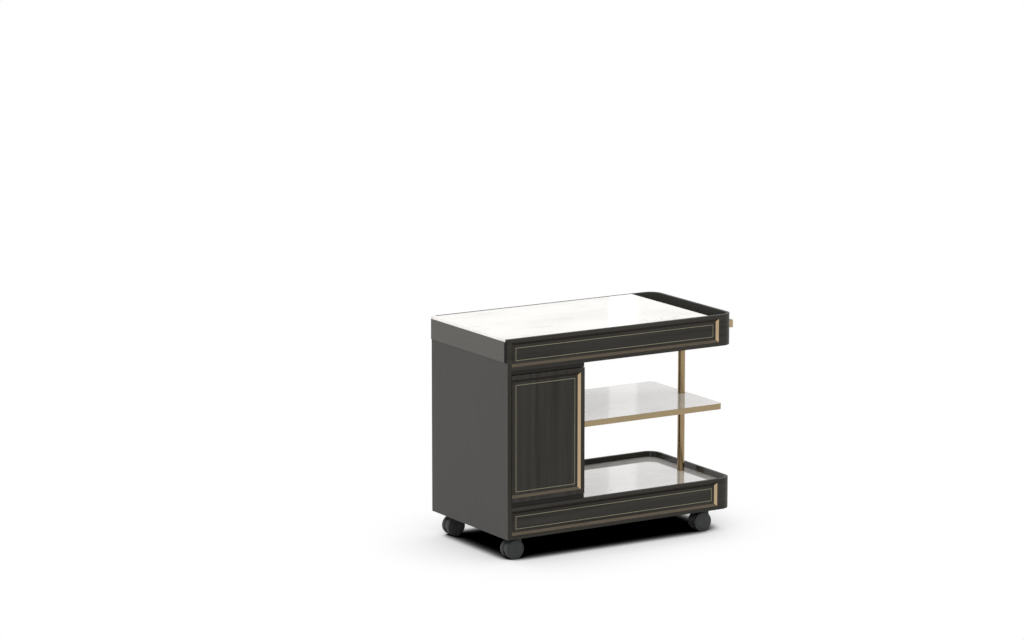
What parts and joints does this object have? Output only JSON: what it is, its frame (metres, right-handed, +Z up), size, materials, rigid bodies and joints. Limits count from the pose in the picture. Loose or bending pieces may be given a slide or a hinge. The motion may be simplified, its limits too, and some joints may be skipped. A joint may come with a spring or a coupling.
{
  "type": "cheese trolley",
  "caption": "Serving trolley on swivel casters: marble top with an open end well, closed cabinet, open shelf bay on one brass column.",
  "frame": {"origin": "middle of the footprint at floor level, between the left end's overhang and the handle's outer face", "axes": "+X along the length towards the push handle, +Y from the door side to the back, +Z up"},
  "size_m": [1.066, 0.556, 0.848],
  "materials": {
    "grey_lacquer": "satin lacquer, warm grey",
    "dark_wood": "satin lacquered, fine straight grain",
    "dark_board": "matt black-brown lacquer",
    "plywood": "raw",
    "brass": "brushed, satin",
    "marble": "polished, faint warm grey veins",
    "steel": "zinc plated",
    "black_plastic": "moulded",
    "wheel_plastic": "moulded, slightly worn tread"
  },
  "bodies": {
    "cart": {"side_panel_left": "grey_lacquer", "cabinet_side_right": "grey_lacquer", "end_band": "grey_lacquer", "top_fascia": "dark_wood", "bottom_fascia": "dark_wood", "cabinet_back_panel": "dark_wood", "cabinet_top_board": "dark_board", "cabinet_floor_board": "dark_board", "cabinet_plinth": "dark_board", "cabinet_shelf": "dark_board", "base_bottom_board": "dark_board", "top_underside_board": "dark_board", "well_divider": "dark_board", "well_lining": "dark_board", "shelf_core": "dark_board", "shelf_cleat": "dark_board", "base_deck": "plywood", "top_deck": "plywood", "tray_ribs": "plywood", "top_mouldings": "brass", "top_inlays": "brass", "bottom_mouldings": "brass", "bottom_inlays": "brass", "back_panel_moulding": "brass", "back_panel_inlay": "brass", "column_tube": "brass", "shelf_edge_trim": "brass", "shelf_collar": "brass", "handle_bar": "brass", "shelf_pins": "brass", "pivot_bushes": "brass", "top_marble": "marble", "bottom_marble": "marble", "shelf_marble": "marble", "column_tie_rod": "steel", "handle_screws": "steel", "caster_plates": "steel", "caster_screws": "steel", "latch_housing": "black_plastic"},
    "door": {"door_panel": "dark_wood", "door_moulding": "brass", "door_inlay": "brass", "door_pivots": "steel"},
    "latch_plunger": {"latch_plunger": "steel"},
    "caster_front_left": {"caster_housing_front_left": "black_plastic", "caster_axle_front_left": "steel"},
    "wheel_front_left_outer": {"wheel_front_left_outer": "wheel_plastic"},
    "wheel_front_left_inner": {"wheel_front_left_inner": "wheel_plastic"},
    "caster_front_right": {"caster_housing_front_right": "black_plastic", "caster_axle_front_right": "steel"},
    "wheel_front_right_outer": {"wheel_front_right_outer": "wheel_plastic"},
    "wheel_front_right_inner": {"wheel_front_right_inner": "wheel_plastic"},
    "caster_back_left": {"caster_housing_back_left": "black_plastic", "caster_axle_back_left": "steel"},
    "wheel_back_left_outer": {"wheel_back_left_outer": "wheel_plastic"},
    "wheel_back_left_inner": {"wheel_back_left_inner": "wheel_plastic"},
    "caster_back_right": {"caster_housing_back_right": "black_plastic", "caster_axle_back_right": "steel"},
    "wheel_back_right_outer": {"wheel_back_right_outer": "wheel_plastic"},
    "wheel_back_right_inner": {"wheel_back_right_inner": "wheel_plastic"}
  },
  "joints": [
    {"name": "door_hinge", "type": "hinge", "parent": "cart", "child": "door", "pos_m": [-0.201, -0.266, 0.468], "axis": [0, 0, 1], "range_deg": [0, 100]},
    {"name": "latch_press", "type": "slide", "parent": "cart", "child": "latch_plunger", "axis": [0, 1, 0], "range_m": [0, 0.003], "stiffness_N_per_m": 400, "springref_m": -0.002},
    {"name": "swivel_front_left", "type": "hinge", "parent": "cart", "child": "caster_front_left", "pos_m": [-0.446, -0.215, 0.084], "axis": [0, 0, 1], "continuous": true},
    {"name": "spin_front_left_outer", "type": "hinge", "parent": "caster_front_left", "child": "wheel_front_left_outer", "pos_m": [-0.473, -0.215, 0.0375], "axis": [0, 1, 0], "continuous": true},
    {"name": "spin_front_left_inner", "type": "hinge", "parent": "caster_front_left", "child": "wheel_front_left_inner", "pos_m": [-0.473, -0.215, 0.0375], "axis": [0, 1, 0], "continuous": true},
    {"name": "swivel_front_right", "type": "hinge", "parent": "cart", "child": "caster_front_right", "pos_m": [0.399, -0.215, 0.084], "axis": [0, 0, 1], "continuous": true},
    {"name": "spin_front_right_outer", "type": "hinge", "parent": "caster_front_right", "child": "wheel_front_right_outer", "pos_m": [0.372, -0.215, 0.0375], "axis": [0, 1, 0], "continuous": true},
    {"name": "spin_front_right_inner", "type": "hinge", "parent": "caster_front_right", "child": "wheel_front_right_inner", "pos_m": [0.372, -0.215, 0.0375], "axis": [0, 1, 0], "continuous": true},
    {"name": "swivel_back_left", "type": "hinge", "parent": "cart", "child": "caster_back_left", "pos_m": [-0.446, 0.215, 0.084], "axis": [0, 0, 1], "continuous": true},
    {"name": "spin_back_left_outer", "type": "hinge", "parent": "caster_back_left", "child": "wheel_back_left_outer", "pos_m": [-0.473, 0.215, 0.0375], "axis": [0, 1, 0], "continuous": true},
    {"name": "spin_back_left_inner", "type": "hinge", "parent": "caster_back_left", "child": "wheel_back_left_inner", "pos_m": [-0.473, 0.215, 0.0375], "axis": [0, 1, 0], "continuous": true},
    {"name": "swivel_back_right", "type": "hinge", "parent": "cart", "child": "caster_back_right", "pos_m": [0.399, 0.215, 0.084], "axis": [0, 0, 1], "continuous": true},
    {"name": "spin_back_right_outer", "type": "hinge", "parent": "caster_back_right", "child": "wheel_back_right_outer", "pos_m": [0.372, 0.215, 0.0375], "axis": [0, 1, 0], "continuous": true},
    {"name": "spin_back_right_inner", "type": "hinge", "parent": "caster_back_right", "child": "wheel_back_right_inner", "pos_m": [0.372, 0.215, 0.0375], "axis": [0, 1, 0], "continuous": true}
  ]
}
